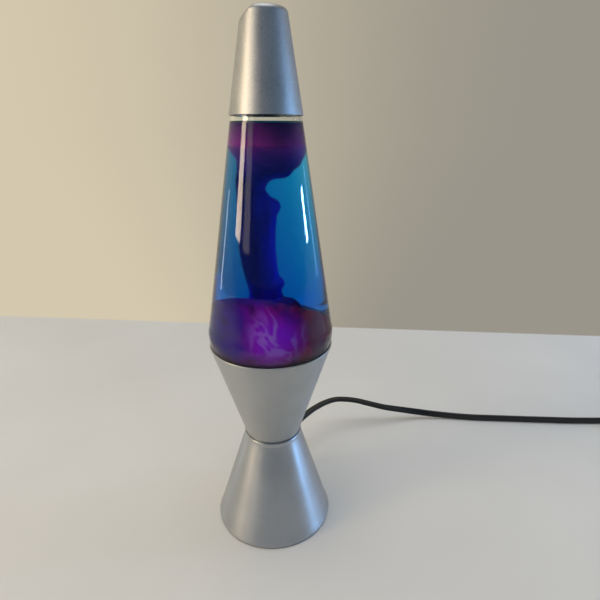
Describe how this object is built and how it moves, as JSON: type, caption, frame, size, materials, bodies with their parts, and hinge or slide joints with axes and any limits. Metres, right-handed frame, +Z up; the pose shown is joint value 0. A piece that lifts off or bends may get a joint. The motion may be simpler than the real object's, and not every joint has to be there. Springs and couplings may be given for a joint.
{
  "type": "lava lamp",
  "caption": "Liquid motion lamp: a tapered glass globe of blue liquid and wax on a spun metal hourglass base with a conical metal cap, a bulb inside and a flat switched cord.",
  "frame": {"origin": "on the surface the lamp stands on, under the middle of the base", "axes": "+Z up along the lamp axis; the cord leaves at the back right and runs towards +X"},
  "size_m": [0.5881, 0.2371, 0.3683],
  "materials": {
    "satin_aluminium": "spun aluminium, satin",
    "cap_aluminium": "spun aluminium, fine grain",
    "zinc_steel": "zinc-plated steel",
    "cover_steel": "black painted steel",
    "brass": "brass",
    "blade_brass": "tumbled brass",
    "solder": "solder",
    "tungsten": "tungsten wire",
    "crown_steel": "lacquered tinplate",
    "coil_steel": "stainless wire",
    "foot_rubber": "black rubber",
    "wire_insulation": "PVC insulation",
    "holder_porcelain": "glazed porcelain",
    "bulb_glass": "clear thin glass",
    "bulb_insulator": "black glass insulator",
    "globe_glass": "clear bottle glass",
    "liner_plastic": "soft plastic liner",
    "blue_liquid": "dyed clear liquid",
    "purple_wax": "dyed wax seen through blue liquid",
    "cord_pvc": "flexible PVC",
    "switch_plastic": "moulded plastic",
    "rocker_plastic": "moulded plastic",
    "plug_pvc": "moulded PVC"
  },
  "bodies": {
    "base": {"foot_shell": "satin_aluminium", "cup_shell": "satin_aluminium", "nipple": "zinc_steel", "lock_washer": "zinc_steel", "nipple_nut": "brass", "bottom_cover": "cover_steel", "cover_clips": "zinc_steel", "cover_screws": "zinc_steel", "rubber_feet": "foot_rubber", "lead_wires": "wire_insulation", "holder_body": "holder_porcelain", "holder_shell": "brass", "holder_contact": "brass", "holder_screws": "brass", "strain_relief": "cord_pvc", "cord_to_switch": "cord_pvc", "cord_to_coil": "cord_pvc", "cord_coil": "cord_pvc", "cord_to_plug": "cord_pvc", "switch_bottom": "switch_plastic", "switch_top": "switch_plastic", "switch_screw": "zinc_steel", "switch_contacts": "brass", "plug_body": "plug_pvc", "plug_blades": "blade_brass"},
    "globe": {"globe_glass": "globe_glass", "crown_closure": "crown_steel", "crown_liner": "liner_plastic", "liquid": "blue_liquid", "wax": "purple_wax", "wire_coil": "coil_steel"},
    "cap": {"cap": "cap_aluminium"},
    "bulb": {"bulb_glass": "bulb_glass", "bulb_screw_cap": "brass", "bulb_insulator": "bulb_insulator", "bulb_tip": "solder", "bulb_stem": "bulb_glass", "bulb_filament": "tungsten"},
    "rocker": {"switch_rocker": "rocker_plastic"}
  },
  "joints": [
    {"name": "globe_lift", "type": "slide", "parent": "base", "child": "globe", "axis": [0, 0, 1], "range_m": [0, 0.06]},
    {"name": "cap_lift", "type": "slide", "parent": "globe", "child": "cap", "axis": [0, 0, 1], "range_m": [0, 0.06]},
    {"name": "bulb_turn", "type": "hinge", "parent": "base", "child": "bulb", "pos_m": [0, 0, 0.1], "axis": [0, 0, 1], "range_deg": [0, 1080]},
    {"name": "rocker_tip", "type": "hinge", "parent": "base", "child": "rocker", "pos_m": [0.418, 0.091, 0.0134], "axis": [0, 1, 0], "range_deg": [-16, 0]}
  ]
}
